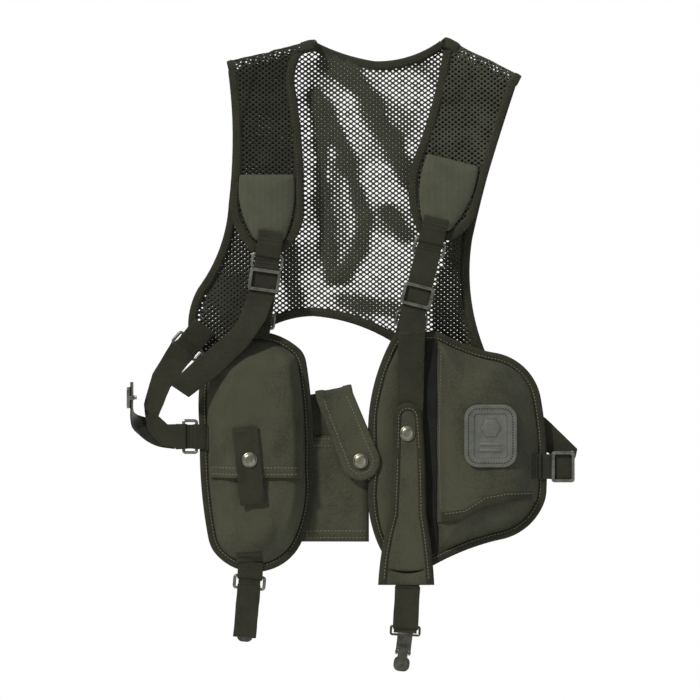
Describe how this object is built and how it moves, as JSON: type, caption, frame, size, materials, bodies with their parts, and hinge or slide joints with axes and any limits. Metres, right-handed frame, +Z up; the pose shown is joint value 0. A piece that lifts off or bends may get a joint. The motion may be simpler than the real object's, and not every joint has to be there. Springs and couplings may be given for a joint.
{
  "type": "safety harness vest",
  "caption": "Mesh-backed harness vest with padded shoulders, webbing adjusters, hung radio pouch, flat snap pouch, side bag and strap ends with garter clips.",
  "frame": {"origin": "midway between the two neck points, on the fold line over which the vest hangs", "axes": "+X to the viewer's right from the front, +Z up, front of the vest faces -Y"},
  "size_m": [0.4497, 0.0558, 0.6313],
  "materials": {
    "mesh": "open hexagonal polyester mesh, matt",
    "nylon": "plain-weave coated nylon, faint sheen",
    "binding": "folded grosgrain tape with a dashed stitch line",
    "webbing": "woven nylon webbing, matt",
    "hardware": "olive-grey enamelled steel, satin",
    "snap": "domed snap caps, satin grey-olive",
    "emblem": "moulded rubber badge, satin"
  },
  "bodies": {
    "root": {"back_binding": "binding", "back_mesh_panel": "mesh", "bag_binding": "binding", "bag_front_cover": "nylon", "bag_lower_pocket": "nylon", "bag_rear_panel": "nylon", "bag_side_strap": "webbing", "bag_side_tab": "webbing", "corner_ring": "hardware", "corner_tab": "webbing", "emblem_patch": "emblem", "left_load_ring": "hardware", "left_load_tab": "webbing", "left_pad_tab": "webbing", "left_shoulder_mesh": "mesh", "left_shoulder_pad": "nylon", "left_shoulder_ring": "hardware", "left_shoulder_strap": "webbing", "left_side_strap": "webbing", "left_yoke_binding": "binding", "leg_tab": "webbing", "middle_pouch": "nylon", "pouch_binding": "binding", "pouch_body": "nylon", "pouch_hood": "nylon", "pouch_rear_panel": "nylon", "pouch_side_ring": "hardware", "pouch_side_tab": "webbing", "right_load_ring": "hardware", "right_load_tab": "webbing", "right_pad_tab": "webbing", "right_shoulder_mesh": "mesh", "right_shoulder_pad": "nylon", "right_shoulder_ring": "hardware", "right_shoulder_strap": "webbing", "right_yoke_binding": "binding", "sheath": "nylon", "snap_studs": "snap"},
    "pouch_flap_body": {"pouch_flap": "nylon", "pouch_pull_tab": "webbing", "pouch_snap_cap": "snap"},
    "middle_flap_body": {"middle_flap": "nylon", "middle_flap_binding": "binding", "middle_snap_cap": "snap"},
    "sheath_tongue_body": {"sheath_tongue": "nylon", "sheath_snap_cap": "snap"},
    "left_slider_body": {"left_shoulder_slider": "hardware"},
    "right_slider_body": {"right_shoulder_slider": "hardware"},
    "bag_slider_body": {"bag_side_slider": "hardware"},
    "side_slider_body": {"left_side_slider": "hardware"},
    "leg_ring_body": {"leg_ring": "hardware"},
    "leg_strap_body": {"leg_strap": "webbing", "leg_clip_body": "hardware", "leg_clip_pin": "hardware"},
    "leg_jaw_body": {"leg_clip_jaw": "hardware"},
    "drop_strap_body": {"drop_strap": "webbing"},
    "clip_loop_body": {"clip_loop": "hardware"},
    "drop_clip_body_group": {"drop_clip_body": "hardware", "drop_clip_pin": "hardware"},
    "drop_jaw_body": {"drop_clip_jaw": "hardware"}
  },
  "joints": [
    {"name": "pouch_flap_hinge", "type": "hinge", "parent": "root", "child": "pouch_flap_body", "pos_m": [-0.125, -0.0288, -0.3558], "axis": [-1, 0, 0], "range_deg": [0, 100]},
    {"name": "middle_flap_hinge", "type": "hinge", "parent": "root", "child": "middle_flap_body", "pos_m": [-0.048, -0.0066, -0.35125], "axis": [-0.979, 0, -0.204], "range_deg": [0, 110]},
    {"name": "sheath_tongue_hinge", "type": "hinge", "parent": "root", "child": "sheath_tongue_body", "pos_m": [0.028, -0.0144, -0.415], "axis": [1, 0, 0], "range_deg": [0, 140]},
    {"name": "left_slider_slide", "type": "slide", "parent": "root", "child": "left_slider_body", "axis": [-0.1392, 0, -0.9903], "range_m": [0, 0.008]},
    {"name": "right_slider_slide", "type": "slide", "parent": "root", "child": "right_slider_body", "axis": [-0.2419, 0, -0.9703], "range_m": [-0.025, 0.006]},
    {"name": "bag_slider_slide", "type": "slide", "parent": "root", "child": "bag_slider_body", "axis": [-1, 0, 0], "range_m": [0, 0.01]},
    {"name": "side_slider_slide", "type": "slide", "parent": "root", "child": "side_slider_body", "axis": [0, 0, -1], "range_m": [0, 0.012]},
    {"name": "leg_ring_swing", "type": "hinge", "parent": "root", "child": "leg_ring_body", "pos_m": [-0.12999, -0.0033, -0.53812], "axis": [0.9962, 0, -0.0872], "range_deg": [-20, 20]},
    {"name": "leg_strap_swing", "type": "hinge", "parent": "leg_ring_body", "child": "leg_strap_body", "pos_m": [-0.13101, -0.0033, -0.54988], "axis": [0.9962, 0, -0.0872], "range_deg": [-30, 30]},
    {"name": "leg_jaw_hinge", "type": "hinge", "parent": "leg_strap_body", "child": "leg_jaw_body", "pos_m": [-0.13409, 0.0028, -0.58504], "axis": [0.9962, 0, -0.0872], "range_deg": [0, 45]},
    {"name": "drop_strap_swing", "type": "hinge", "parent": "root", "child": "drop_strap_body", "pos_m": [0.0274, -0.008, -0.5465], "axis": [0.9986, 0, -0.0523], "range_deg": [-20, 20]},
    {"name": "clip_loop_swing", "type": "hinge", "parent": "drop_strap_body", "child": "clip_loop_body", "pos_m": [0.02531, -0.008, -0.58774], "axis": [0.9986, 0, -0.0523], "range_deg": [-25, 25]},
    {"name": "drop_clip_swing", "type": "hinge", "parent": "clip_loop_body", "child": "drop_clip_body_group", "pos_m": [0.02487, -0.008, -0.59603], "axis": [0.9925, 0, -0.1219], "range_deg": [-30, 30]},
    {"name": "drop_jaw_hinge", "type": "hinge", "parent": "drop_clip_body_group", "child": "drop_jaw_body", "pos_m": [0.02276, -0.0104, -0.61321], "axis": [0.9925, 0, -0.1219], "range_deg": [0, 45]}
  ]
}
